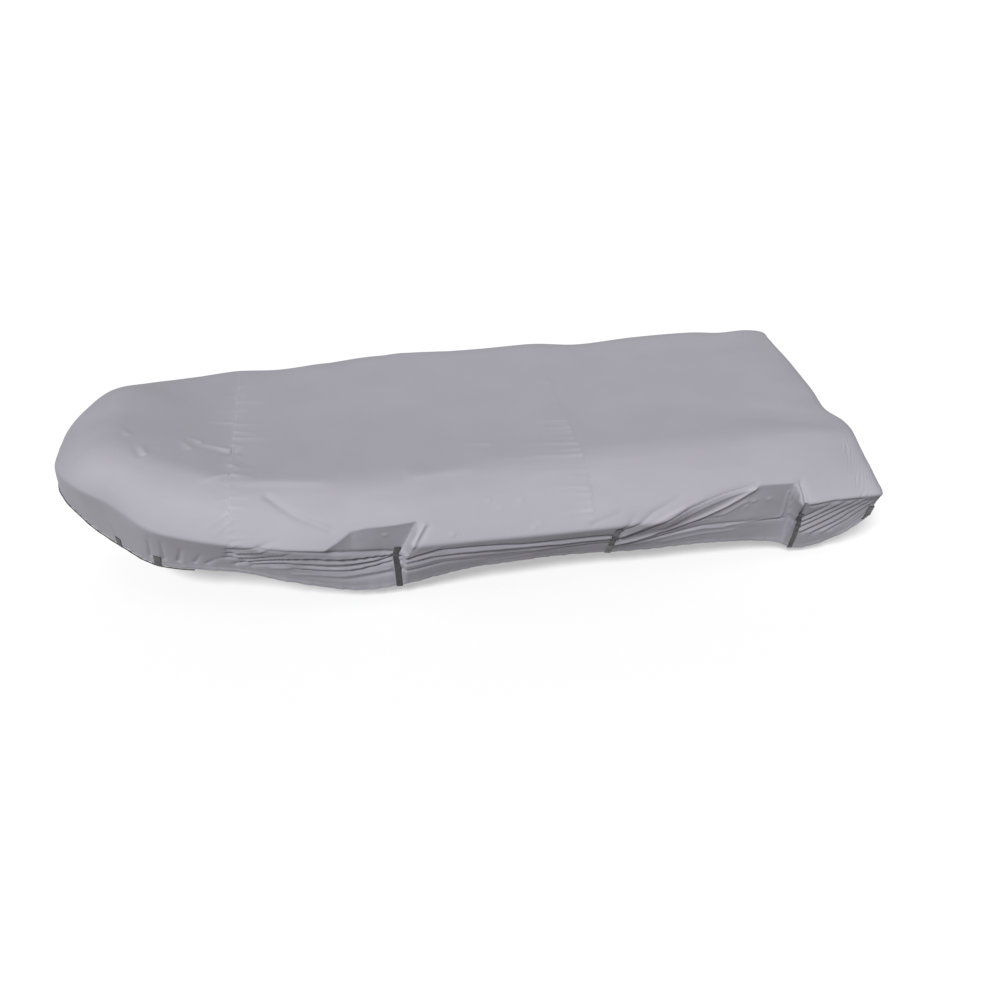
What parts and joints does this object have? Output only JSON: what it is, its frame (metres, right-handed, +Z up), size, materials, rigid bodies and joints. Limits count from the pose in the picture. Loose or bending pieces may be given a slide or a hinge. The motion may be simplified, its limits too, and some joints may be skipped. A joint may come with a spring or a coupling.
{
  "type": "fitted boat cover",
  "caption": "Hollow fitted cloth cover for an open inflatable boat, with a blunt raised bow, sloped sides, a gathered lower edge and webbing straps.",
  "frame": {"origin": "underside of the top, on the centre line of the boat", "axes": "+X from bow to stern, +Y across the boat to its far side, +Z up"},
  "size_m": [4.1743, 1.9702, 0.7966],
  "materials": {
    "cloth": "grey coated polyester cloth with a low satin sheen",
    "webbing": "black woven polypropylene webbing",
    "cord": "black braided cord"
  },
  "bodies": {
    "root": {"bow_panel": "cloth", "middle_panel": "cloth", "stern_panel": "cloth", "near_strap_1": "webbing", "near_strap_2": "webbing", "near_strap_3": "webbing", "far_strap_1": "webbing", "far_strap_2": "webbing", "far_strap_3": "webbing", "near_bow_tab_front": "webbing", "near_bow_tab_side": "webbing", "near_stern_tab": "webbing", "far_bow_tab_front": "webbing", "far_bow_tab_side": "webbing", "far_stern_tab": "webbing", "bow_draw_cord": "cord"}
  },
  "joints": []
}
